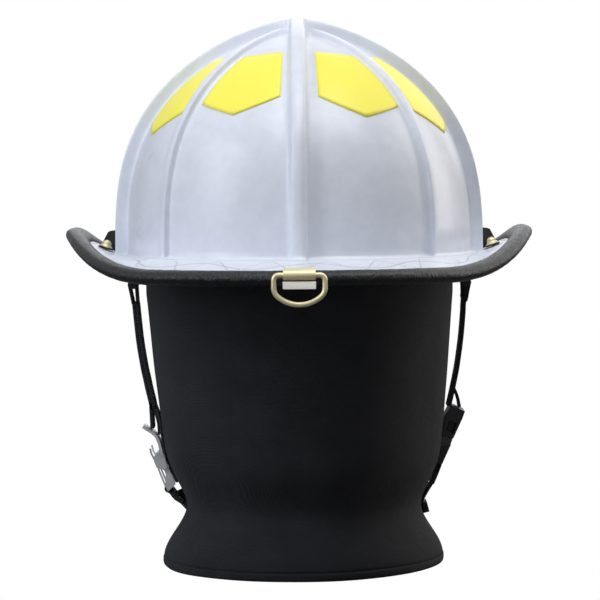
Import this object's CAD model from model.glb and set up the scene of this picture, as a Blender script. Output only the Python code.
"""Traditional fire helmet seen from behind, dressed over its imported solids.

Lengths are in millimetres until mesh() turns them into metres. +Y is the wearer's front, so the
camera looks along +Y at the rear of the helmet. Directions round the helmet are counted from +X.
"""
import math

import bmesh
import bpy
from mathutils import Matrix, Vector, noise


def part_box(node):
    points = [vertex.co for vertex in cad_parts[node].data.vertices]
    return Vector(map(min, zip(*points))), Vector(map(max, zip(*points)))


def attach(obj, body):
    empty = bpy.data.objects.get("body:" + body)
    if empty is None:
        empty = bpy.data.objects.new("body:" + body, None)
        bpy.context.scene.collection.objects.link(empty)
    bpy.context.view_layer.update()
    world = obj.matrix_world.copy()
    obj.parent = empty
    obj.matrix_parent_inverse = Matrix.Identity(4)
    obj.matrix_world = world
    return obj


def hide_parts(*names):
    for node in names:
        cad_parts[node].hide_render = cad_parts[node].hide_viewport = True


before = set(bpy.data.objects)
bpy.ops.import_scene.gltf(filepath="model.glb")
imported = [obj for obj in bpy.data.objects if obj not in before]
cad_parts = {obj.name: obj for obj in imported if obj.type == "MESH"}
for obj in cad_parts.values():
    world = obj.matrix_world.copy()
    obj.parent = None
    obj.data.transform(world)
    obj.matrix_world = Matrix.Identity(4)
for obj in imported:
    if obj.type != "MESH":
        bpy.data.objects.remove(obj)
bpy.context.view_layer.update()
MM = 0.001
WELD = 1e-6  # metres within which two points are one

# Dome: size, wall, the powers of its curves, its ridges and ribs, and the round at its foot
DOME_W, DOME_L, DOME_H, SHELL_T = 218.0, 268.0, 141.0, 3.0
DOME_M, DOME_N, DOME_P = 1.5, 2.88, 2.15
RIDGE_H, RIDGE_W, RIB_H, RIB_W, RIB_TURN = 8.6, 16.0, 3.7, 10.0, 41.0
FILLET = 2.4
# Brim: width, lengths behind and before the origin, heights at the sides and ends, and leans
BRIM_W, BRIM_REAR, BRIM_FRONT, BRIM_P = 285.0, 209.0, 165.0, 2.2
BRIM_RISE, REAR_DROP, FRONT_DROP = 12.0, 9.0, 8.0
SIDE_LEAN, END_LEAN, FOOT_SLOPE = 36, -6, -0.06
# The sides' curl is full up to the first length, and fades over the brim's less the second
CURL_REAR, CURL_FRONT = (40, 74), (15, 55)
TRIM_W, TRIM_T = 12.8, 9.4
LIP_L = TRIM_W / 2 + 1.5
# Webbing, and the straps' place along the helmet
WEB_W, WEB_T, STRAP_Y = 19.0, 1.6, 8.0
ACROSS = Vector((0, 1, 0))


def clamp(t):
    return max(0.0, min(1.0, t))


def smooth(t):
    t = clamp(t)
    return t * t * (3 - 2 * t)


def mix(a, b, t):
    return a + (b - a) * t


def oval_r(a, w, l, p):
    """Radius in direction a of an oval with half sizes w and l and power p."""
    return (abs(math.cos(a) / w) ** p + abs(math.sin(a) / l) ** p) ** (-1 / p)


def dome_k(f):
    """The dome's share of its foot's width at the share f of its height."""
    return max(0.0, 1 - f ** DOME_N) ** (1 / DOME_M)


def dome_f(k):
    """The share of the dome's height at which it is k as wide as its foot."""
    return (1 - k ** DOME_M) ** (1 / DOME_N)


def dome_pt(a, f, d):
    r = oval_r(a, DOME_W / 2 + d, DOME_L / 2 + d, DOME_P) * dome_k(f)
    return Vector((r * math.cos(a), r * math.sin(a), (DOME_H + d) * f))


def foot_r(a):
    return oval_r(a, DOME_W / 2, DOME_L / 2, DOME_P)


def brim_l(y):
    return BRIM_REAR if y < 0 else BRIM_FRONT


def side_share(y):
    """Share of the sides' curl: 1 beside the head, 0 towards the brim's ends."""
    full, less = CURL_REAR if y < 0 else CURL_FRONT
    return 1 - smooth((abs(y) - full) / (brim_l(y) - less))


def edge(a):
    """The trim's centre line in direction a, with its outward and upward directions."""
    half_w, half_l = BRIM_W / 2, brim_l(math.sin(a))
    r = oval_r(a, half_w, half_l, BRIM_P)
    x, y = r * math.cos(a), r * math.sin(a)
    share = side_share(y)
    z = mix(-REAR_DROP if y < 0 else -FRONT_DROP, BRIM_RISE, share)
    out = Vector((math.copysign(abs(x / half_w) ** (BRIM_P - 1) / half_w, x),
                  math.copysign(abs(y / half_l) ** (BRIM_P - 1) / half_l, y), 0)).normalized()
    lean = math.radians(mix(END_LEAN, SIDE_LEAN, share))
    along = out * math.cos(lean) + Vector((0, 0, math.sin(lean)))
    up = -out * math.sin(lean) + Vector((0, 0, math.cos(lean)))
    return Vector((x, y, z)), along, up


def brim_pt(a, d, s, side):
    """Point of the brim's upper (side 1) or lower (side -1) skin, from the foot to the lip."""
    r0 = foot_r(a) + d + FILLET
    p0 = Vector((r0 * math.cos(a), r0 * math.sin(a), -SHELL_T / 2))
    e, along, up = edge(a)
    p3 = e - LIP_L * along
    h = (p3 - p0).length / 3
    p1 = p0 + h * Vector((math.cos(a), math.sin(a), FOOT_SLOPE))
    p2 = p3 - h * along
    u = 1 - s
    p = u ** 3 * p0 + 3 * u * u * s * p1 + 3 * u * s * s * p2 + s ** 3 * p3
    normal = Vector((0, 0, 1)).lerp(up, s).normalized()
    return p + normal * (side * SHELL_T / 2)


# Mesh helpers

def mesh(name, verts, faces, uvs=None, material=None, smooth_shade=True):
    """A mesh object from points in millimetres; uvs holds one pair per point."""
    data = bpy.data.meshes.new(name)
    data.from_pydata([tuple(c * MM for c in v) for v in verts], [], faces)
    if uvs:
        layer = data.uv_layers.new(name="UVMap")
        for loop in data.loops:
            layer.data[loop.index].uv = uvs[loop.vertex_index]
    data.validate()
    obj = bpy.data.objects.new(name, data)
    bpy.context.scene.collection.objects.link(obj)
    if smooth_shade:
        for poly in data.polygons:
            poly.use_smooth = True
    if material:
        data.materials.append(material)
    return obj


def grid(name, rows, uvs=None, wrap=False, close=False, caps=False, material=None):
    """A surface through rows of points; wrap closes each row, close the whole, caps its ends."""
    n, m = len(rows), len(rows[0])
    verts = [p for row in rows for p in row]
    faces = []
    for i in range(n if close else n - 1):
        for j in range(m if wrap else m - 1):
            i2, j2 = (i + 1) % n, (j + 1) % m
            faces.append((i * m + j, i * m + j2, i2 * m + j2, i2 * m + j))
    if caps:
        faces.append(tuple(range(m - 1, -1, -1)))
        faces.append(tuple((n - 1) * m + j for j in range(m)))
    flat = [uv for row in uvs for uv in row] if uvs else None
    return mesh(name, verts, faces, flat, material)


def outward(obj, weld=False):
    """Turns a closed mesh's faces outwards; weld first joins points that lie on each other."""
    bm = bmesh.new()
    bm.from_mesh(obj.data)
    if weld:
        bmesh.ops.remove_doubles(bm, verts=bm.verts, dist=WELD)
    bmesh.ops.recalc_face_normals(bm, faces=bm.faces)
    bm.to_mesh(obj.data)
    bm.free()
    return obj


def join(name, objs):
    """Joins several mesh objects into one."""
    for o in bpy.context.selected_objects:
        o.select_set(False)
    for o in objs:
        o.select_set(True)
    bpy.context.view_layer.objects.active = objs[0]
    bpy.ops.object.join()
    objs[0].name = name
    objs[0].data.name = name
    return objs[0]


def slab_mesh(name, inner, outer, material):
    """A closed sheet between two grids of points."""
    def border(rows):
        return (rows[0] + [row[-1] for row in rows[1:]] + rows[-1][-2::-1]
                + [row[0] for row in rows[-2:0:-1]])

    sides = [grid(name + "_in", inner, material=material),
             grid(name + "_out", outer, material=material),
             grid(name + "_rim", [border(inner), border(outer)], wrap=True, material=material)]
    return outward(join(name, sides), weld=True)


def spline(points, steps):
    """Catmull-Rom points through a list of vectors."""
    out = []
    n = len(points)
    for i in range(n - 1):
        p0, p1, p2, p3 = points[max(i - 1, 0)], points[i], points[i + 1], points[min(i + 2, n - 1)]
        for k in range(steps):
            t = k / steps
            out.append(0.5 * ((2 * p1) + (p2 - p0) * t + (2 * p0 - 5 * p1 + 4 * p2 - p3) * t * t
                              + (3 * p1 - p0 - 3 * p2 + p3) * t ** 3))
    out.append(points[-1].copy())
    return out


def band(name, path, wide, width, thick, material, edge_r, steps):
    """A flat strap along a path, smoothed unless steps is 0; wide holds its width's directions."""
    fine, dirs = (spline(path, steps), spline(wide, steps)) if steps else (path, wide)
    n = len(fine)
    section = []
    for sx, sy, start in ((-1, -1, 180), (-1, 1, 90), (1, 1, 0), (1, -1, 270)):
        cx, cy = sx * (width / 2 - edge_r), sy * (thick / 2 - edge_r)
        for turn in range(start + 90, start - 1, -30):
            section.append((cx + edge_r * math.cos(math.radians(turn)),
                            cy + edge_r * math.sin(math.radians(turn))))
    rows, uvs, s = [], [], 0.0
    for i, p in enumerate(fine):
        t = (fine[min(i + 1, n - 1)] - fine[max(i - 1, 0)]).normalized()
        w = (dirs[i] - t * dirs[i].dot(t)).normalized()
        normal = t.cross(w)
        if i:
            s += (p - fine[i - 1]).length
        rows.append([p + w * a + normal * b for a, b in section])
        uvs.append([(s * MM, a * MM) for a, b in section])
    return outward(grid(name, rows, uvs, wrap=True, caps=True, material=material))


def strap_band(name, points, thick, material, steps=6):
    """A strap of full width along an x-z path."""
    path = [Vector((x, STRAP_Y, z)) for x, z in points]
    edge_r = min(0.45, thick * 0.3)
    return band(name, path, [ACROSS] * len(path), WEB_W, thick, material, edge_r, steps)


def offset_path(points, d):
    """The x-z path moved sideways by d."""
    out = []
    for i, (x, z) in enumerate(points):
        a, b = points[max(i - 1, 0)], points[min(i + 1, len(points) - 1)]
        dx, dz = b[0] - a[0], b[1] - a[1]
        n = math.hypot(dx, dz)
        out.append((x - d * dz / n, z + d * dx / n))
    return out


def circle_run(c, r, a0, a1, steps):
    """Points of a circle round c, from a0 to a1 in degrees."""
    turns = [math.radians(mix(a0, a1, k / steps)) for k in range(steps + 1)]
    return [(c[0] + r * math.cos(t), c[1] + r * math.sin(t)) for t in turns]


# Materials

MIX_FAC, MIX_A, MIX_B, MIX_OUT = 0, 6, 7, 2  # the colour sockets of the Mix node


def put(tree, value, socket):
    """Links another node's output to the socket, or sets a plain value there."""
    if hasattr(value, "is_output"):
        tree.links.new(value, socket)
    else:
        socket.default_value = value


def add_node(tree, kind, sockets=(), **settings):
    """A new node, with a value or another node's output in each socket that is named."""
    n = tree.nodes.new(kind)
    for key, value in settings.items():
        setattr(n, key, value)
    for key, value in dict(sockets).items():
        put(tree, value, n.inputs[key])
    return n


class Mat:
    """A node material with a Principled shader and a chain of bumps; its scales are per metre."""

    def __init__(self, name, color, rough, metal=0.0, **extra):
        self.mat = bpy.data.materials.new(name)
        self.mat.use_nodes = True
        self.tree = self.mat.node_tree
        self.shader = self.tree.nodes["Principled BSDF"]
        self.coord = self.node("ShaderNodeTexCoord")
        self.last_bump = None
        self.set("Base Color", (*color, 1))
        self.set("Roughness", rough)
        self.set("Metallic", metal)
        for key, value in extra.items():
            self.set(key.replace("_", " "), value)

    def node(self, kind, sockets=(), **settings):
        return add_node(self.tree, kind, sockets, **settings)

    def set(self, key, value):
        put(self.tree, value, self.shader.inputs[key])

    def axes(self, source):
        """The three parts of a texture coordinate."""
        return self.node("ShaderNodeSeparateXYZ", {0: self.coord.outputs[source]}).outputs

    def stretched(self, scale):
        place = {"Vector": self.coord.outputs["Object"], "Scale": scale}
        return self.node("ShaderNodeMapping", place).outputs["Vector"]

    def noise(self, scale, detail, rough, vector=None, distortion=0.0):
        return self.node("ShaderNodeTexNoise", {
            "Vector": vector or self.coord.outputs["Object"], "Scale": scale, "Detail": detail,
            "Roughness": rough, "Distortion": distortion}).outputs["Fac"]

    def cells(self, scale, feature="F1"):
        place = {"Vector": self.coord.outputs["Object"], "Scale": scale}
        return self.node("ShaderNodeTexVoronoi", place, feature=feature).outputs["Distance"]

    def math(self, op, a, b=0.0):
        return self.node("ShaderNodeMath", {0: a, 1: b}, operation=op).outputs[0]

    def span(self, value, a, b, c=0.0, d=1.0):
        """The value's range from a to b, mapped to the range from c to d."""
        return self.node("ShaderNodeMapRange", {
            "Value": value, "From Min": a, "From Max": b, "To Min": c, "To Max": d}).outputs[0]

    def line(self, value, at, core, blur, strength=1.0):
        """A line where the value passes at: full within core, gone beyond blur."""
        off = self.math("ABSOLUTE", self.math("SUBTRACT", value, at))
        return self.span(off, core, blur, strength, 0)

    def tint(self, fac, dark, light):
        """Base colour by fac between dark, a colour or a node's output, and the colour light."""
        dark = dark if hasattr(dark, "is_output") else (*dark, 1)
        n = self.node("ShaderNodeMix", {MIX_FAC: fac, MIX_A: dark, MIX_B: (*light, 1)},
                      data_type="RGBA")
        self.set("Base Color", n.outputs[MIX_OUT])
        return n.outputs[MIX_OUT]

    def rough(self, fac, low, high):
        self.set("Roughness", self.span(fac, 0.3, 0.7, low, high))

    def glow(self, color, strength):
        self.set("Emission Color", (*color, 1))
        self.set("Emission Strength", strength)

    def bump(self, height, distance, strength):
        n = self.node("ShaderNodeBump", {
            "Height": height, "Distance": distance, "Strength": strength})
        if self.last_bump:
            put(self.tree, self.last_bump, n.inputs["Normal"])
        self.last_bump = n.outputs["Normal"]
        self.set("Normal", self.last_bump)

    def moulded(self):
        """The fine grain of moulded plastic."""
        self.bump(self.noise(700, 2, 0.5), 0.0004, 0.35)


def shell_material():
    """White gloss paint over a moulded shell, with pressed scrollwork on the brim."""
    m = Mat("shell_white", (0.8, 0.81, 0.82), 0.36,
            Coat_Weight=0.15, Coat_Roughness=0.3, Specular_IOR_Level=0.4)
    speck = m.math("ADD", m.math("MULTIPLY", m.noise(14, 5, 0.65), 0.5),
                   m.math("MULTIPLY", m.noise(95, 4, 0.6), 0.5))
    paint = m.tint(m.span(speck, 0.38, 0.62), (0.775, 0.8, 0.875), (0.855, 0.88, 0.95))
    m.rough(m.noise(30, 4, 0.55), 0.27, 0.36)
    # the scrollwork: v is the share across the brim, u the distance along it in metres
    u, v, _ = m.axes("UV")

    def wave(length, height, middle):
        turn = m.math("MULTIPLY", u, 2 * math.pi / length)
        return m.math("ADD", m.math("MULTIPLY", m.math("SINE", turn), height), middle)

    vine = m.line(v, wave(0.062, 0.17, 0.52), 0.008, 0.03)
    leaves = m.line(v, wave(0.031, 0.26, 0.5), 0.006, 0.026, 0.8)
    borders = [m.line(v, at, 0.006, 0.028) for at in (0.88, 0.1)]
    lines = m.math("MAXIMUM", m.math("MAXIMUM", vine, leaves), m.math("MAXIMUM", *borders))
    m.tint(m.math("MULTIPLY", lines, 0.5), paint, (0.3, 0.31, 0.36))
    m.bump(lines, 0.0011, 0.7)
    m.bump(m.noise(16, 3, 0.5), 0.002, 0.25)
    m.bump(m.noise(420, 2, 0.5), 0.0003, 0.12)
    return m.mat


def trim_material():
    """Black rubber beading, creased across its length."""
    m = Mat("trim_black", (0.014, 0.014, 0.015), 0.34, Specular_IOR_Level=0.42)
    u, v, _ = m.axes("UV")
    creased = m.node("ShaderNodeCombineXYZ", {
        0: m.math("MULTIPLY", u, 900), 1: m.math("MULTIPLY", v, 160)})
    m.tint(m.span(m.noise(300, 3, 0.6), 0.35, 0.7), (0.003, 0.003, 0.0033), (0.009, 0.009, 0.0095))
    m.rough(m.noise(160, 3, 0.6), 0.26, 0.38)
    m.bump(m.noise(1.0, 3, 0.6, creased.outputs[0], 0.6), 0.0011, 0.75)
    m.bump(m.noise(620, 3, 0.6), 0.0006, 0.6)
    return m.mat


def marker_material():
    """Fluorescent yellow-green retroreflective sheet with its fine cell pattern."""
    m = Mat("marker_yellow", (0.93, 0.83, 0.06), 0.42, Coat_Weight=0.1, Coat_Roughness=0.35)
    cell = m.span(m.cells(620, "DISTANCE_TO_EDGE"), 0.0, 0.06)
    m.tint(cell, (0.89, 0.79, 0.08), (0.95, 0.86, 0.1))
    m.glow((0.95, 0.85, 0.06), 0.16)
    m.bump(cell, 0.0001, 0.3)
    return m.mat


def cloth_material(name, dark, light, thread, sheen, rough=0.85):
    m = Mat(name, dark, rough, Sheen_Weight=sheen, Sheen_Roughness=0.45, Specular_IOR_Level=0.25)
    m.tint(m.span(m.noise(28, 4, 0.6), 0.3, 0.7), dark, light)
    yarns = []
    for way in ("Z", "DIAGONAL"):
        yarn = m.node("ShaderNodeTexWave", {
            "Vector": m.coord.outputs["Object"], "Scale": thread / 6, "Distortion": 0.4},
            wave_type="BANDS", bands_direction=way)
        yarns.append(yarn.outputs["Fac"])
    m.bump(m.math("MULTIPLY", *yarns), 0.0005, 0.6)
    m.bump(m.noise(45, 4, 0.6), 0.0022, 0.35)
    return m.mat


def webbing_material(name, dark, light):
    """Ribbed nylon webbing: u runs along it, v across it, both in metres."""
    rib, cord = 0.0014, 0.0016
    m = Mat(name, dark, 0.62, Sheen_Weight=0.25, Sheen_Roughness=0.4, Specular_IOR_Level=0.35)
    u, v, _ = m.axes("UV")
    slant = m.math("ADD", u, m.math("PINGPONG", v, cord))
    ribs = m.math("SINE", m.math("MULTIPLY", slant, 2 * math.pi / rib))
    cords = m.math("SINE", m.math("MULTIPLY", v, 2 * math.pi / cord))
    weave = m.math("MULTIPLY", m.math("ADD", ribs, cords), 0.5)
    m.tint(m.span(weave, -0.8, 0.8), dark, light)
    m.bump(weave, 0.0004, 0.8)
    m.bump(m.noise(900, 2, 0.6), 0.0003, 0.5)
    return m.mat


def metal_material(name, color, rough, metal, grain, scratch=0.0):
    """Metal with faint blotches and a grain, which is a bump too where scratch isn't 0."""
    m = Mat(name, color, rough, metal)
    streak = m.noise(1.0, 4, 0.6, m.stretched(grain))
    blotch = m.noise(60, 3, 0.5)
    m.tint(m.span(blotch, 0.3, 0.7), tuple(c * 0.88 for c in color), color)
    wear = m.math("ADD", m.math("MULTIPLY", streak, 0.6), m.math("MULTIPLY", blotch, 0.4))
    m.rough(wear, rough * 0.7, rough * 1.5)
    if scratch:
        m.bump(streak, 0.0003, scratch)
        m.bump(m.noise(300, 3, 0.5), 0.0004, scratch)
    return m.mat


def plastic_material(name, color, rough, glow=None):
    m = Mat(name, color, rough, Specular_IOR_Level=0.5)
    light = tuple(min(1, c * 1.35 + 0.004) for c in color)
    m.tint(m.span(m.noise(60, 4, 0.6), 0.3, 0.7), color, light)
    m.rough(m.noise(90, 3, 0.6), rough * 0.85, rough * 1.2)
    m.moulded()
    if glow:
        m.glow(*glow)
    return m.mat


def plug_material():
    """Black plastic with pale shoulders where the plug leaves its socket."""
    shoulder = -0.1245, -0.1242  # metres, the height at which the colour changes
    m = Mat("plug_plastic", (0.016, 0.016, 0.018), 0.42)
    m.tint(m.span(m.axes("Object")[2], *shoulder), (0.014, 0.014, 0.015), (0.11, 0.11, 0.115))
    m.moulded()
    return m.mat


def leather_material(name, dark, light, rough):
    m = Mat(name, dark, rough, Specular_IOR_Level=0.45)
    m.tint(m.span(m.noise(24, 5, 0.65), 0.3, 0.7), dark, light)
    m.bump(m.cells(900), 0.0005, 0.6)
    m.bump(m.noise(110, 4, 0.6), 0.001, 0.35)
    m.rough(m.noise(60, 3, 0.6), rough * 0.85, rough * 1.25)
    return m.mat


def foam_material():
    m = Mat("foam_grey", (0.03, 0.03, 0.033), 0.9, Specular_IOR_Level=0.2)
    beads = m.cells(320)
    m.tint(m.span(beads, 0.0, 0.7), (0.05, 0.05, 0.054), (0.02, 0.02, 0.022))
    m.bump(beads, 0.0012, 0.5)
    return m.mat


EVEN, BRUSHED = (60, 60, 60), (40, 600, 600)
SHELL = shell_material()
TRIM = trim_material()
MARKER = marker_material()
CURTAIN = cloth_material("curtain_cloth", (0.0225, 0.023, 0.0255), (0.033, 0.0338, 0.037),
                         2400, 0.05, 0.9)
LINING = cloth_material("lining_cloth", (0.02, 0.02, 0.023), (0.035, 0.035, 0.04), 900, 0.3)
WEBBING = webbing_material("webbing_black", (0.016, 0.016, 0.018), (0.04, 0.04, 0.045))
WEB_GREY = webbing_material("webbing_grey", (0.03, 0.03, 0.033), (0.065, 0.065, 0.07))
BRASS = metal_material("brass", (1.0, 0.88, 0.54), 0.36, 0.55, EVEN)
CHROME = metal_material("chrome", (1.0, 1.0, 1.0), 0.3, 0.6, EVEN)
STEEL = metal_material("steel", (0.8, 0.77, 0.71), 0.42, 0.85, BRUSHED, 0.4)
PLATE = plastic_material("plate_pale", (0.97, 0.95, 0.9), 0.4, glow=((0.9, 0.88, 0.84), 0.42))
BLACK = plastic_material("black_plastic", (0.016, 0.016, 0.018), 0.42)
GREY = plastic_material("grey_plastic", (0.2, 0.2, 0.21), 0.4)
PLUG = plug_material()
HIDE = leather_material("front_leather", (0.018, 0.012, 0.01), (0.045, 0.03, 0.025), 0.45)
BROW = leather_material("brow_leather", (0.1, 0.05, 0.025), (0.17, 0.09, 0.045), 0.55)
FOAM = foam_material()

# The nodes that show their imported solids
NODE_MATERIALS = [
    (FOAM, ["impact_liner"]),
    (BLACK, ["suspension_clips", "headband", "ratchet_housing", "ratchet_knob", "bracket_left",
             "bracket_right", "hanger_left", "hanger_right", "buckle_socket", "latch_front",
             "latch_rear"]),
    (GREY, ["ratchet_pinion"]),
    (PLUG, ["buckle_plug"]),
    (STEEL, ["keeper_rivets", "hanger_rivets", "front_spacers"]),
    (BRASS, ["bracket_studs", "acorn_nuts", "front_holder", "front_screws"]),
    (CHROME, ["slide_frame", "slide_lever", "slide_pin", "slide_loop"]),
    (HIDE, ["front_shield", "front_panels"]),
]
for node_material, node_names in NODE_MATERIALS:
    for node_name in node_names:
        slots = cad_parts[node_name].data.materials
        slots.clear()
        slots.append(node_material)


# Shell

# Ridges by direction in degrees, with height and half width, and the height across half a ridge
MAIN, RIB = (RIDGE_H, RIDGE_W / 2), (RIB_H, RIB_W / 2)
RIDGES = [(0, *MAIN), (90 - RIB_TURN, *RIB), (90, *MAIN), (90 + RIB_TURN, *RIB),
          (180, *MAIN), (270 - RIB_TURN, *RIB), (270, *MAIN), (270 + RIB_TURN, *RIB)]
RIDGE_SHAPE = [(0.0, 1.0), (0.3, 1.0), (0.42, 0.995), (0.48, 0.965), (0.52, 0.88), (0.56, 0.7),
               (0.6, 0.5), (0.65, 0.3), (0.72, 0.13), (0.83, 0.03), (1.0, 0.0)]
PANEL_STEPS, TOP_STEPS, DOME_STEPS, FILLET_STEPS, BRIM_STEPS, UNDER_STEPS = 14, 20, 44, 6, 24, 8
TOP_K, TOP_K_STEP, LOW_F = 0.02, 0.024, 0.035  # the dome's first rings, and its lowest
INNER_LEVELS = (0.015, 0.08, 0.15, 0.25, 0.35, 0.45, 0.55, 0.65, 0.72, 0.8, 0.86, 0.91, 0.95, 0.985)
U_RADIUS, NO_SCROLL = 0.14, -1.0  # metres of u per radian, and the v of skin without scrollwork


def ridge_share(q):
    """Height share at the share q of a ridge's half width."""
    for (q0, h0), (q1, h1) in zip(RIDGE_SHAPE, RIDGE_SHAPE[1:]):
        if q < q1:
            return mix(h0, h1, (q - q0) / (q1 - q0))
    return 0.0


def rise(a, rho):
    """Height of the ridges over the plain dome in direction a, rho from the dome's axis."""
    best = 0.0
    for turn, height, half in RIDGES:
        off = a - math.radians(turn)
        if math.cos(off) > 0:
            best = max(best, height * ridge_share(abs(rho * math.sin(off)) / half))
    return best


def ridge_after(i):
    """Direction and half width of the ridge after ridge i."""
    turn, _, half = RIDGES[(i + 1) % len(RIDGES)]
    return turn + (360 if i == len(RIDGES) - 1 else 0), half


def stations(rho):
    """Directions round the dome, close together across each ridge."""
    out = []
    for i, (turn, _, half) in enumerate(RIDGES):
        after, half_2 = ridge_after(i)
        room = after - turn
        h0 = math.degrees(math.asin(min(1.0, half / rho)))
        h1 = math.degrees(math.asin(min(1.0, half_2 / rho)))
        k = min(1.0, 0.9 * room / (h0 + h1))
        h0, h1 = h0 * k, h1 * k
        out += [turn + q * h0 for q, _ in RIDGE_SHAPE]
        out += [turn + mix(h0, room - h1, n / PANEL_STEPS) for n in range(1, PANEL_STEPS)]
        out += [turn + room - q * h1 for q, _ in reversed(RIDGE_SHAPE[1:])]
    return [math.radians(a) for a in out]


def make_shell():
    base = [(a, rise(a, foot_r(a))) for a in stations(foot_r(0))]
    m = len(base)
    rows, uvs = [], []

    def add(row, v=NO_SCROLL):
        rows.append(row)
        uvs.append([(a * U_RADIUS, v) for a, _ in base])

    # from the top down the dome, round the fillet and out over the brim
    near_top = [dome_f(TOP_K + TOP_K_STEP * t) for t in range(TOP_STEPS + 1)]
    down = [mix(near_top[-1], LOW_F, t / DOME_STEPS) for t in range(1, DOME_STEPS + 1)]
    for f in near_top + down:
        around = stations(foot_r(0) * dome_k(f))
        add([dome_pt(a, f, rise(a, foot_r(a) * dome_k(f))) for a in around])
    for t in range(1, FILLET_STEPS + 1):
        th = math.pi / 2 * t / FILLET_STEPS
        add([Vector((r * math.cos(a), r * math.sin(a), FILLET * (1 - math.sin(th))))
             for a, d in base for r in [foot_r(a) + d + FILLET * (1 - math.cos(th))]],
            0.0 if t == FILLET_STEPS else NO_SCROLL)
    for k in range(1, BRIM_STEPS + 1):
        add([brim_pt(a, d, k / BRIM_STEPS, 1) for a, d in base], k / BRIM_STEPS)
    # round the edge, back under the brim and up inside the dome
    edges = [edge(a) for a, _ in base]
    for side in (1, -1):
        add([e + up * (side * SHELL_T / 2) for e, _, up in edges])
    for k in range(UNDER_STEPS, -1, -1):
        add([brim_pt(a, 0, k / UNDER_STEPS, -1) for a, _ in base])
    add([Vector((r * math.cos(a), r * math.sin(a), -0.75 * SHELL_T))
         for a, _ in base for r in [foot_r(a) - SHELL_T / 2]])
    for f in INNER_LEVELS:
        add([dome_pt(a, f, -SHELL_T) for a, _ in base])
    verts = [p for row in rows for p in row]
    flat = [uv for row in uvs for uv in row]
    faces = [(i * m + j, i * m + (j + 1) % m, (i + 1) * m + (j + 1) % m, (i + 1) * m + j)
             for i in range(len(rows) - 1) for j in range(m)]
    # a point closes each skin at the dome's axis
    top, low, last = len(verts), len(verts) + 1, (len(rows) - 1) * m
    verts += [Vector((0, 0, DOME_H + RIDGE_H)), Vector((0, 0, DOME_H - SHELL_T))]
    flat += [(0, NO_SCROLL), (0, NO_SCROLL)]
    faces += [(top, (j + 1) % m, j) for j in range(m)]
    faces += [(low, last + j, last + (j + 1) % m) for j in range(m)]
    shell = outward(mesh("shell", verts, faces, flat, SHELL))
    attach(shell, "helmet")
    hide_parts("outer_shell")


# Trim

TRIM_RINGS, TRIM_STEPS, TRIM_TURN = 1300, 30, 162
TRIM_INSET, SIDE_FULL = 0.5, 0.5  # the roll's shift inwards, and its extra width at the sides
SLOT_H, SLOT_END, SLOT_MOUTH = SHELL_T / 2 + 0.3, 0.6, -TRIM_W / 2 + 0.3


def ring_noise(a, scale, height):
    """Noise from 0 to 1 that closes round the helmet."""
    return abs(noise.noise(Vector((scale * math.cos(a), scale * math.sin(a), height))))


def make_trim():
    """The rolled beading, with the creases that bending it round the brim leaves across it."""
    slot = ((SLOT_MOUTH, SLOT_H), (SLOT_END, SLOT_H), (SLOT_END, -SLOT_H), (SLOT_MOUTH, -SLOT_H))
    rows, uvs = [], []
    s, last = 0.0, None
    for i in range(TRIM_RINGS):
        a = 2 * math.pi * i / TRIM_RINGS
        e, along, up = edge(a)
        if last is not None:
            s += (e - last).length
        last = e
        share = side_share(e.y)
        ring, line = [], []
        for k in range(TRIM_STEPS + 1):
            t = math.radians(mix(-TRIM_TURN, TRIM_TURN, k / TRIM_STEPS))
            swell = 1 - 0.05 * ring_noise(a, 30, t * 1.3) - 0.025 * ring_noise(a, 75, 4 + t * 2.2)
            reach = TRIM_W / 2 * (1 + SIDE_FULL * share) if t > math.pi / 2 else TRIM_W / 2
            ring.append(e + along * (reach * math.cos(t) * swell - TRIM_INSET)
                        + up * (TRIM_T / 2 * math.sin(t) * swell))
            line.append((s * MM, t * TRIM_W / 2 * MM))
        for out, high in slot:
            ring.append(e + along * out + up * high)
            line.append((s * MM, 0.02))
        rows.append(ring)
        uvs.append(line)
    trim = outward(grid("trim", rows, uvs, wrap=True, close=True, material=TRIM))
    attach(trim, "helmet")
    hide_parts("edge_trim")


# Markers

# Height shares of the lower corners at the main ridge and the rib, of the tip between them and
# of the upper corners, and distances from the main ridge at the bottom and top and from the rib
REAR_LEFT = dict(main=0.694, tip=0.614, rib=0.664, top_main=0.892, top_rib=0.874,
                 off_main=(10.6, 9.3), off_rib=7.6)
REAR_RIGHT = dict(REAR_LEFT, main=0.692, tip=0.602, rib=0.648, off_main=(12.3, 10.7), off_rib=5.8)
SIDE = dict(main=0.6, tip=0.535, rib=0.632, top_main=0.872, top_rib=0.872,
            off_main=(10.3, 10.3), off_rib=7.0)
# One marker in each panel, in the order of the ridges
MARKERS = [SIDE, REAR_LEFT, REAR_LEFT, SIDE, SIDE, REAR_LEFT, REAR_RIGHT, SIDE]
MARKER_FACES, MARKER_COLS, MARKER_ROWS = (0.12, 0.62), 24, 16


def aside(turn, f, off):
    """The angle in degrees by which a point off beside a ridge is turned from it."""
    return math.degrees(math.asin(off / (foot_r(math.radians(turn)) * dome_k(f))))


def marker_pt(i, c, v, d):
    """Point of marker i: c from the main ridge to the rib, v from the lower edge to the upper."""
    plan = MARKERS[i]
    turn, height, _ = RIDGES[i]
    after, _ = ridge_after(i)
    low = (mix(plan["main"], plan["tip"], 2 * c) if c < 0.5
           else mix(plan["tip"], plan["rib"], 2 * c - 1))
    f = mix(low, mix(plan["top_main"], plan["top_rib"], c), v)
    off_main, off_rib = mix(*plan["off_main"], v), plan["off_rib"]
    if height == RIDGE_H:
        ends = turn + aside(turn, f, off_main), after - aside(after, f, off_rib)
    else:
        ends = after - aside(after, f, off_main), turn + aside(turn, f, off_rib)
    return dome_pt(math.radians(mix(*ends, c)), f, d)


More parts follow.
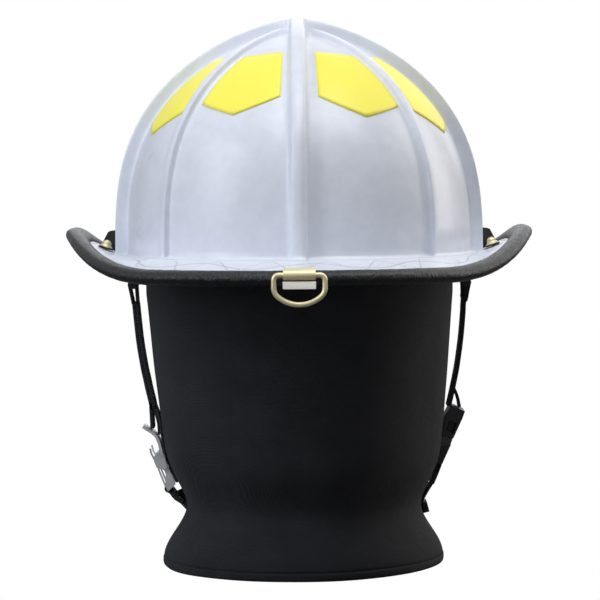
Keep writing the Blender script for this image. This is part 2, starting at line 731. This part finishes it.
def make_markers():
    parts = []
    for i in range(len(MARKERS)):
        faces = [[[marker_pt(i, c / MARKER_COLS, v / MARKER_ROWS, d)
                   for c in range(MARKER_COLS + 1)] for v in range(MARKER_ROWS + 1)]
                 for d in MARKER_FACES]
        parts.append(slab_mesh("marker", *faces, MARKER))
    markers = join("markers", parts)
    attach(markers, "helmet")
    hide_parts("reflective_markers")


# Curtain

# Full widths, half lengths and heights below the origin, from the top to the neck and the hem
CURT = dict(top=2.6, w=196.0, rear=119.0, neck_w=149.4, hem_w=178.6, drop=200.0, neck=161.0,
            t=3.0, hem_h=5.0, bulge=25.0, neck_rear=82.0, hem_rear=92.0, throat=76.0,
            hem_front=88.0, brow=112.0, sway=1.5, power=2.1)
# Below the neck the cloth moves sideways, and its sides are lifted, the right one more
SHIFT, SHIFT_L, LIFT_START, LIFT_L, LIFT_RIGHT, LIFT_LEFT = -0.7, 34, 160, 35, 2.2, 0.5
# The opening for the face, by its height, half angle and power, and its least half angle
OPEN_H, OPEN_HALF, OPEN_P, OPEN_LEAST = 150, 68, 2.4, 1.2
COLUMNS, LEVELS, SHEET_END = 170, 90, -194.8
RIPPLE, HEM_FOLD_Z = 1.6, -195
# The rolled hem, sewn along the lower edge: height and distance out from the curtain's face
HEM_PROFILE = [(-194.6, 0.35), (-196, 0.5), (-197.6, 0.45), (-199, 0.1), (-199.9, -0.7),
               (-200, -1.6), (-199.9, -2.4), (-199, -3.1), (-197.6, -3.4), (-196, -3.45),
               (-194.6, -3.3)]
HEADER_LEVELS, HEADER_FACES = (2.6, -5, -13.4), (-4.7, -3.3)
TAB_LEVELS, TAB_FACES, TAB_TURNS = (-194, -190, -186, -178), (0.3, 2.3), range(76, 105, 2)


def below_bulge(z):
    return clamp((-z - CURT["bulge"]) / (CURT["neck"] - CURT["bulge"]))


def fullness(z, top, neck, hem):
    """A size of the curtain at height z, from its values at the top, the neck and the hem."""
    n = 0.55 * below_bulge(z) + 0.45 * math.exp(-(max(0, z + CURT["neck"]) / 21) ** 2)
    h = smooth((-z - CURT["neck"]) / (CURT["drop"] - CURT["hem_h"] - CURT["neck"]))
    return mix(mix(top, neck, n), hem, h)


def half_width(z):
    return fullness(z, CURT["w"], CURT["neck_w"], CURT["hem_w"]) / 2


def curtain_pt(a, z, d):
    """Point of the curtain's face in direction a at height z, moved out by d."""
    if math.sin(a) < 0:
        l = fullness(z, CURT["rear"], CURT["neck_rear"], CURT["hem_rear"]) + d
    else:
        l = fullness(z, CURT["brow"], CURT["throat"], CURT["hem_front"]) + d
    r = oval_r(a, half_width(z) + d, l, CURT["power"])
    shift = CURT["sway"] * below_bulge(z) + SHIFT * smooth((-z - CURT["neck"]) / SHIFT_L)
    most = LIFT_RIGHT if math.cos(a) > 0 else LIFT_LEFT
    lift = clamp((-z - LIFT_START) / LIFT_L) * most * math.cos(a) ** 2
    return Vector((r * math.cos(a) + shift, r * math.sin(a), z + lift))


def opening(z):
    """Half angle of the face's opening at height z, in degrees."""
    share = min(1, (CURT["top"] - z) / OPEN_H)
    return max(OPEN_LEAST, OPEN_HALF * math.sqrt(max(0, 1 - share ** OPEN_P)))


def fold(a, z):
    """Soft unevenness of the cloth, from -1 to 1."""
    return noise.noise(Vector((math.cos(a) * 2.2, math.sin(a) * 2.2, z * 0.012)))


def curtain_row(z, d, ripple=0.0, fold_z=None):
    """Points across the curtain at height z; ripple is the folds' depth, as at height fold_z."""
    half = opening(z)
    turns = [math.radians(mix(90 + half, 450 - half, k / COLUMNS)) for k in range(COLUMNS + 1)]
    return [curtain_pt(a, z, d + ripple * fold(a, z if fold_z is None else fold_z)) for a in turns]


def make_curtain():
    levels = [mix(CURT["top"], SHEET_END, t / LEVELS) for t in range(LEVELS + 1)]
    inner, outer = ([curtain_row(z, d, RIPPLE * smooth((-z - 20) / 60)) for z in levels]
                    for d in (-CURT["t"], 0.0))
    curtain = slab_mesh("curtain", inner, outer, CURTAIN)
    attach(curtain, "helmet")
    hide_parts("neck_curtain", "curtain_hem")
    rows = [curtain_row(z, d, RIPPLE, HEM_FOLD_Z) for z, d in HEM_PROFILE]
    hem = outward(grid("hem", rows, close=True, material=CURTAIN))
    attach(hem, "helmet")
    header_faces = [[curtain_row(z, d) for z in HEADER_LEVELS] for d in HEADER_FACES]
    header = slab_mesh("header", *header_faces, LINING)
    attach(header, "helmet")
    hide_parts("curtain_header")
    tab_faces = [[[curtain_pt(math.radians(a), z, d) for a in TAB_TURNS] for z in TAB_LEVELS]
                 for d in TAB_FACES]
    tab = slab_mesh("throat_tab", *tab_faces, WEBBING)
    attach(tab, "helmet")
    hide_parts("throat_tab")


# Straps

BAR = (106.8, -20.0)
PIN = (-90.17, -129.2)
LOOP_BAR = (PIN[0] + 5.2, PIN[1] - 21.7)
BAR_R, LOOP_R = 1.7, 1.2


def beside(side, path):
    """Points by their distance from the curtain's side and their height."""
    return [(side * (half_width(z) + off) + CURT["sway"] * below_bulge(z), z) for off, z in path]


LEFT_RUN = [(-BAR[0] + 1.4, BAR[1] - 11)] + beside(-1, [
    (7.9, -33.6), (8, -41.4), (8, -56.8), (7.2, -72.3), (6.4, -80), (5.6, -87.7), (4.6, -95.4),
    (4.3, -99.5)])
RIGHT_RUN = [(BAR[0] - 1, BAR[1] - 11)] + beside(1, [
    (8, -33.6), (8.2, -41.4), (8, -56.8), (7.1, -72.3), (6.3, -80), (5.3, -87.7), (4.2, -95.4),
    (3.5, -99.3)])
# Below its two plies the left strap parts into an outer run, an inner one and a folded end
OUTER_RUN = beside(-1, [(4.9, -95.4), (5.5, -98.5), (5.8, -103.2), (6.1, -108.3), (6.4, -112.2)])
INNER_RUN = beside(-1, [(2.9, -97.5), (2.2, -100.2), (1.5, -103.2)]
                   + [(0.95, -z) for z in range(107, 148, 5)])
INNER_FOLD = beside(-1, [(3.4, -97.8), (3, -101.5), (2.9, -103.6), (2.3, -108.6), (2.4, -113),
                         (2.6, -116.3)])
RIGHT_TAIL = [(RIGHT_RUN[-1][0] + x, RIGHT_RUN[-1][1] + z)
              for x, z in ((2.8, 12.4), (4.4, 9.4), (6, 4.6), (7, -0.7))]
RIGHT_TAB = [(BAR[0] + 0.1, BAR[1] - 0.6), (BAR[0] - 0.2, BAR[1] - 4), (BAR[0] - 0.9, BAR[1] - 9.8)]
# The lower strap's first points on each side, with its width's directions, before the neck
LOW_LEFT = ([(-80.4, 8.2, -156.6), (-76.3, 9.4, -160.9), (-75, 14.5, -162)],
            [(0, 1, 0), (-0.3, 1, 0), (-0.5, 0.3, 0.8)])
LOW_RIGHT = ([(80.6, 8.8, -153.8), (77.9, 13, -159.2), (76.2, 21, -161.5)],
             [(0, 1, 0), (0, 1, 0.05), (0, 0.8, 0.6)])
NECK_Z, NECK_TURN, NECK_STEPS = -161.5, 17, 8
CLIMB = [(84.1, -148.9), (86.8, -142.7), (89.1, -137.2)]
DOUBLED_END = [(90.3, -136.2), (89.1, -136.9), (86.8, -142.7), (84.1, -148.9)]
LOW_TAIL = beside(1, [(4.1, -148.9), (3, -154.8), (2, -158.8), (1.7, -161.2), (1.5, -164.4),
                      (1.3, -167.4)])
LOW_TAIL_END = beside(1, [(2.4, -161.4), (2.8, -164.4), (2.6, -167.6)])


def hang_loop(side, end, leg):
    """The webbing's turn round a hanger's bar, down to both sides of the strap's end."""
    turn = circle_run((side * BAR[0], BAR[1]), BAR_R + WEB_T / 2, -30, 210, 14)
    path = [(end[0] + leg, end[1] - 1)] + turn + [(end[0] - leg, end[1] - 1)]
    return strap_band("hang_loop", path, WEB_T, WEBBING, steps=3)


def plies(run, off, thick):
    return [strap_band("ply", offset_path(run, d), thick, WEBBING) for d in (off, -off)]


def neck_route(side):
    """The lower strap's way round the neck, where it turns onto its edge, and its directions."""
    points, dirs = LOW_RIGHT if side > 0 else LOW_LEFT
    way, wide = [Vector(p) for p in points], [Vector(d) for d in dirs]
    for k in range(1, NECK_STEPS + 1):
        a = math.radians(mix(NECK_TURN, 90, k / NECK_STEPS))
        p = curtain_pt(a if side > 0 else math.pi - a, NECK_Z, 2.8 + 2.8 * math.sin(a))
        way.append(Vector((p.x, p.y, NECK_Z)))
        wide.append(Vector((0, 0.2 if k == 1 else 0, 1)))
    return way, wide


def make_straps():
    left = join("strap_left", plies(LEFT_RUN, 1.12, 2.15) + [
        strap_band("outer", OUTER_RUN, 2.5, WEBBING), hang_loop(-1, LEFT_RUN[0], 1.4)])
    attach(left, "helmet")
    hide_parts("chin_strap_left")
    inner = join("strap_inner", [strap_band("run", INNER_RUN, WEB_T - 0.3, WEB_GREY),
                                 strap_band("fold", INNER_FOLD, WEB_T - 0.2, WEBBING)])
    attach(inner, "helmet")
    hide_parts("chin_strap_inner")
    right = join("strap_right", [strap_band("tab", RIGHT_TAB, 4.5, WEBBING)]
                 + plies(RIGHT_RUN, 0.71, 1.38)
                 + [strap_band("tail", RIGHT_TAIL, WEB_T + 0.1, WEBBING),
                    hang_loop(1, RIGHT_RUN[0], 0.95)])
    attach(right, "helmet")
    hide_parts("chin_strap_right")

    # the lower strap: round the slide's loop, round the front of the neck and up to the buckle
    turn = circle_run(LOOP_BAR, LOOP_R + WEB_T / 2, 20, 260, 12)
    wrap_end = [(LOOP_BAR[0] + 2.2, LOOP_BAR[1] - 3.2)]
    left_way, left_wide = neck_route(-1)
    right_way, right_wide = neck_route(1)
    lead = [Vector((LOOP_BAR[0] + 0.6, STRAP_Y, LOOP_BAR[1] - 0.6))]
    way = lead + left_way + right_way[-2::-1] + [Vector((x, STRAP_Y, z)) for x, z in CLIMB]
    wide = [ACROSS] + left_wide + right_wide[-2::-1] + [ACROSS] * len(CLIMB)
    split = 5  # the strap is doubled up to this point
    lower = join("strap_lower", [
        strap_band("wrap", turn + wrap_end, WEB_T, WEBBING, steps=2),
        band("doubled", way[:split + 1], wide[:split + 1], WEB_W, 3.3, WEBBING, 0.5, 8),
        band("single", way[split:], wide[split:], WEB_W, WEB_T, WEBBING, 0.45, 8),
        strap_band("doubled_end", DOUBLED_END, 2.9, WEBBING),
        strap_band("tail", LOW_TAIL, WEB_T, WEBBING),
        strap_band("tail_end", LOW_TAIL_END, 4.6, WEBBING)])
    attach(lower, "helmet")
    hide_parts("chin_side_left", "chin_side_right", "chin_webbing")


# Suspension

# Each strap's direction in degrees, and its layer where they cross
CROWN_STRAPS = (("crown_strap_long", 90, 0), ("crown_strap_left", 150, 1),
                ("crown_strap_right", 30, 2))
CROWN_Z, CROWN_T, CROWN_GAP, CLIP_Z = 92, 1.4, 0.6, 21.3
LINER_IN, CLIP_IN = -18.0, 8
BAND_W, BAND_L, BAND_P = 78, 98, 2.2
CUSHION_T, CUSHION_COLS, CUSHION_ROWS, QUILTS = 5.0, 60, 14, 9
PAD_R, PAD_TOP, PAD_SAG, PAD_T, PAD_RINGS, PAD_POINTS = 41.9, 91.7, 5, 6, 24, 72
SEAMS, SEAM_DEPTH, SEAM_W = (0.45, 0.78), 0.8, 0.03


def make_crown_straps():
    """Webbing from clip to clip over the head, one strap over another at the crown."""
    for name, turn, layer in CROWN_STRAPS:
        ang = math.radians(turn)
        high = CROWN_Z + layer * (CROWN_T + CROWN_GAP) - CLIP_Z
        reach = foot_r(ang) + LINER_IN - CLIP_IN
        out = Vector((math.cos(ang), math.sin(ang), 0))
        side = Vector((-math.sin(ang), math.cos(ang), 0))
        path = []
        for k in range(-30, 31):
            t = math.radians(k * 3)
            z = CLIP_Z + high * math.sqrt(max(0, 1 - abs(math.sin(t)) ** 3))
            lift = (out * math.sin(t) ** 3 + Vector((0, 0, math.cos(t)))).normalized()
            path.append(out * (reach * math.sin(t)) + Vector((0, 0, z)) + lift * (CROWN_T / 2))
        wide = [side] * len(path)
        strap = band(name + "_web", path, wide, WEB_W, CROWN_T, WEB_GREY, 0.4, 0)
        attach(strap, "helmet")
        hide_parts(name)


def make_cushion(name, node, a0, a1, z_low, z_high, material):
    """A quilted cushion on the inside of the headband, between two directions in degrees."""
    inner, outer = [], []
    for i in range(CUSHION_ROWS + 1):
        v = i / CUSHION_ROWS
        z = mix(z_low, z_high, v)
        rows = [], []
        for k in range(CUSHION_COLS + 1):
            c = k / CUSHION_COLS
            a = math.radians(mix(a0, a1, c))
            full = (1 - (2 * v - 1) ** 4) * min(1, 6 * c, 6 * (1 - c)) ** 0.5
            quilt = 0.25 * abs(math.sin(math.pi * c * QUILTS)) ** 0.5
            depths = 0.3 + CUSHION_T * (0.25 + 0.5 * full + quilt), 0.35
            for row, depth in zip(rows, depths):
                r = oval_r(a, BAND_W - depth, BAND_L - depth, BAND_P)
                row.append(Vector((r * math.cos(a), r * math.sin(a), z)))
        inner.append(rows[0])
        outer.append(rows[1])
    obj = slab_mesh(name, inner, outer, material)
    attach(obj, "helmet")
    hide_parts(node)


def make_crown_pad():
    """A dished round cushion with sewn rings."""
    def ring(q, z):
        r = max(0.4, PAD_R * q)
        turns = [2 * math.pi * t / PAD_POINTS for t in range(PAD_POINTS)]
        return [Vector((r * math.cos(t), r * math.sin(t), z)) for t in turns]

    shares = [k / PAD_RINGS for k in range(PAD_RINGS + 1)]
    rows = [ring(q, PAD_TOP - PAD_SAG * q ** 2) for q in shares]
    for q in reversed(shares):
        seam = sum(SEAM_DEPTH * math.exp(-((q - at) / SEAM_W) ** 2) for at in SEAMS)
        low = PAD_T * math.sqrt(max(0, 1 - q ** 4)) + PAD_SAG * q ** 2 + 0.4
        rows.append(ring(q, PAD_TOP - low + seam))
    cushion = outward(grid("crown_cushion", rows, wrap=True, caps=True, material=LINING))
    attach(cushion, "helmet")
    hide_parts("crown_pad")


# Hanging ring and its keeper

RING_WIRE, RING_W, RING_H, RING_TOP_R, RING_SIDE_R, RING_SIDE = 1.5, 32.4, 20, 3.0, 7.0, 0.42
WIRE_POINTS = 20
KEEPER_W, KEEPER_T, KEEPER_R, KEEPER_TOP = 18.6, 1.1, 2.35, 2.35
PLATE_W, PLATE_T, PLATE_LOW = 19.0, 1.0, -2.3


def make_ring():
    """The brass ring: a straight bar above, rounded corners and a wide curve below."""
    lo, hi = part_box("hanging_ring")
    cx, cy = (lo[0] + hi[0]) / 2 / MM, (lo[1] + hi[1]) / 2 / MM
    top = hi[2] / MM - RING_WIRE
    w, drop = RING_W / 2 - RING_WIRE, RING_H - 2 * RING_WIRE
    side = drop * RING_SIDE
    below = drop - side
    low_r = (w * w + below * below - 2 * w * RING_SIDE_R) / (2 * (below - RING_SIDE_R))
    low_a = math.degrees(math.atan((w - RING_SIDE_R) / (low_r - below)))
    right = (circle_run((0, low_r - drop), low_r, -90, low_a - 90, 10)
             + circle_run((w - RING_SIDE_R, -side), RING_SIDE_R, low_a - 84, 0, 10)
             + circle_run((w - RING_TOP_R, -RING_TOP_R), RING_TOP_R, 0, 90, 10))
    path = right + [(-x, z) for x, z in reversed(right[1:])]
    rows = []
    for i, (x, z) in enumerate(path):
        a, b = path[i - 1], path[(i + 1) % len(path)]
        t = Vector((b[0] - a[0], b[1] - a[1])).normalized()
        row = []
        for k in range(WIRE_POINTS):
            th = 2 * math.pi * k / WIRE_POINTS
            out = RING_WIRE * math.cos(th)
            row.append(Vector((cx + x + out * t.y, cy + RING_WIRE * math.sin(th),
                               top + z - out * t.x)))
        rows.append(row)
    ring = outward(grid("ring", rows, wrap=True, close=True, material=BRASS))
    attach(ring, "ring")
    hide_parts("hanging_ring")


def make_keeper():
    """The brass strap that holds the ring's bar, and the pale plate under the trim."""
    lo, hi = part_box("hanging_ring")
    bar = (lo[1] + hi[1]) / 2 / MM, hi[2] / MM - RING_WIRE
    e, along, up = edge(-math.pi / 2)

    def leg(inwards, high):
        return e - along * (TRIM_W / 2 + inwards) + up * high

    def over(turn, d):
        t = math.radians(turn)
        return e + along * ((TRIM_W / 2 + d) * math.cos(t)) + up * ((TRIM_T / 2 + d) * math.sin(t))

    strap = [leg(9, KEEPER_TOP), leg(3.5, KEEPER_TOP)]
    strap += [over(t, mix(0.7, 2.15, (110 - t) / 80)) for t in range(110, 29, -20)]
    strap += [Vector((0, y, z)) for y, z in circle_run(bar, KEEPER_R, 75, 345, 14)]
    plate = [leg(9, PLATE_LOW), leg(3, PLATE_LOW)]
    plate += [over(t, 0.8) for t in range(-130, -9, 20)]
    for name, node, path, width, thick, material in (
            ("keeper", "ring_keeper", strap, KEEPER_W, KEEPER_T, BRASS),
            ("plate", "keeper_plate", plate, PLATE_W, PLATE_T, PLATE)):
        wide = [Vector((1, 0, 0))] * len(path)
        obj = outward(band(name, path, wide, width, thick, material, 0.3, 4))
        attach(obj, "helmet")
        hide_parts(node)


make_shell()
make_trim()
make_markers()
make_curtain()
make_straps()
make_crown_straps()
make_cushion("brow_cushion", "brow_pad", 18, 162, -19, 16, BROW)
make_cushion("nape_cushion", "nape_pad", 234, 306, -18, 6, LINING)
make_crown_pad()
make_ring()
make_keeper()


# Floor, light and camera

FLOOR_Z, FLOOR_X, FLOOR_REAR, FLOOR_FRONT, FLOOR_GREY = -200.4, 1500, -2600, 1800, 0.14
ROOM = (0.93, 0.95, 1.0)
ROOM_LOW, ROOM_HIGH = (-0.3, 0.06), (0.7, 0.27)  # height of the direction, and strength there
GLOSS_BOOST = 0.26
CAM_AIM, CAM_DISTANCE, CAM_UP, CAM_ROLL = (0.0003, 0, -0.0304), 2.0, 2.5, -0.45
SENSOR_W, FOCAL_PX, PHOTO_PX = 36, 3120, 600


def make_floor():
    """A grey floor that the camera sees as white."""
    corners = [(-FLOOR_X, FLOOR_REAR, FLOOR_Z), (FLOOR_X, FLOOR_REAR, FLOOR_Z),
               (FLOOR_X, FLOOR_FRONT, FLOOR_Z), (-FLOOR_X, FLOOR_FRONT, FLOOR_Z)]
    floor = mesh("floor", corners, [(0, 1, 2, 3)], smooth_shade=False)
    mat = bpy.data.materials.new("floor_white")
    mat.use_nodes = True
    tree = mat.node_tree
    tree.nodes.clear()
    path = add_node(tree, "ShaderNodeLightPath").outputs
    diffuse = add_node(tree, "ShaderNodeBsdfDiffuse", {"Color": (*[FLOOR_GREY] * 3, 1)})
    glow = add_node(tree, "ShaderNodeEmission", {"Strength": 1.0})
    both = add_node(tree, "ShaderNodeMixShader", {
        0: path["Is Camera Ray"], 1: diffuse.outputs[0], 2: glow.outputs[0]})
    add_node(tree, "ShaderNodeOutputMaterial", {0: both.outputs[0]})
    floor.data.materials.append(mat)


def make_world():
    """A soft room that is brighter above, and white where the camera sees it."""
    world = bpy.data.worlds.new("studio")
    bpy.context.scene.world = world
    world.use_nodes = True
    tree = world.node_tree
    tree.nodes.clear()
    path = add_node(tree, "ShaderNodeLightPath").outputs
    seen = add_node(tree, "ShaderNodeMath", {
        0: path["Is Camera Ray"], 1: path["Is Transmission Ray"]}, operation="MAXIMUM")
    way = add_node(tree, "ShaderNodeTexCoord").outputs["Generated"]
    parts = add_node(tree, "ShaderNodeSeparateXYZ", {0: way})
    height = add_node(tree, "ShaderNodeMapRange", {
        "Value": parts.outputs[2], "From Min": ROOM_LOW[0], "From Max": ROOM_HIGH[0],
        "To Min": ROOM_LOW[1], "To Max": ROOM_HIGH[1]})
    # polished pieces see a brighter room than the paint does
    gloss = add_node(tree, "ShaderNodeMath", {
        0: path["Is Glossy Ray"], 1: GLOSS_BOOST, 2: height.outputs[0]}, operation="MULTIPLY_ADD")
    soft = add_node(tree, "ShaderNodeBackground", {
        "Color": (*ROOM, 1), "Strength": gloss.outputs[0]})
    white = add_node(tree, "ShaderNodeBackground", {"Color": (1, 1, 1, 1)})
    both = add_node(tree, "ShaderNodeMixShader", {
        0: seen.outputs[0], 1: soft.outputs[0], 2: white.outputs[0]})
    add_node(tree, "ShaderNodeOutputWorld", {0: both.outputs[0]})


def lamp(name, place, size, power, color, aim=(0, 0, 0)):
    data = bpy.data.lights.new(name, "AREA")
    data.shape = "RECTANGLE"
    data.size, data.size_y = size
    data.energy = power
    data.color = color
    obj = bpy.data.objects.new(name, data)
    bpy.context.scene.collection.objects.link(obj)
    obj.location = place
    obj.rotation_euler = (Vector(aim) - Vector(place)).to_track_quat("-Z", "Y").to_euler()


def make_camera():
    data = bpy.data.cameras.new("camera")
    data.sensor_width = SENSOR_W
    data.lens = SENSOR_W * FOCAL_PX / PHOTO_PX
    data.clip_end = 50
    cam = bpy.data.objects.new("camera", data)
    bpy.context.scene.collection.objects.link(cam)
    up, aim = math.radians(CAM_UP), Vector(CAM_AIM)
    cam.location = aim + CAM_DISTANCE * Vector((0, -math.cos(up), math.sin(up)))
    turn = (aim - cam.location).to_track_quat("-Z", "Y").to_matrix().to_4x4()
    roll = Matrix.Rotation(math.radians(CAM_ROLL), 4, "Z")
    cam.rotation_euler = (turn @ roll).to_euler()
    bpy.context.scene.camera = cam


make_floor()
make_world()
lamp("key_left", (-1.85, -1.1, 1.0), (1.2, 1.8), 26, (0.85, 0.91, 1.0))
lamp("side_right", (1.9, 0.95, 0.8), (1.2, 1.8), 20, (1.0, 0.96, 0.9))
lamp("top_soft", (0.3, -0.5, 2.0), (1.6, 1.2), 25, (0.96, 0.98, 1.0))
lamp("low_fill", (0.1, -1.6, -0.55), (1.4, 0.6), 2.6, (1.0, 0.99, 0.97), aim=(0, 0, -0.05))
lamp("front_soft", (0.3, 1.9, 0.8), (1.8, 1.2), 7, (1.0, 1.0, 1.0))
make_camera()
bpy.context.scene.view_settings.view_transform = "Standard"
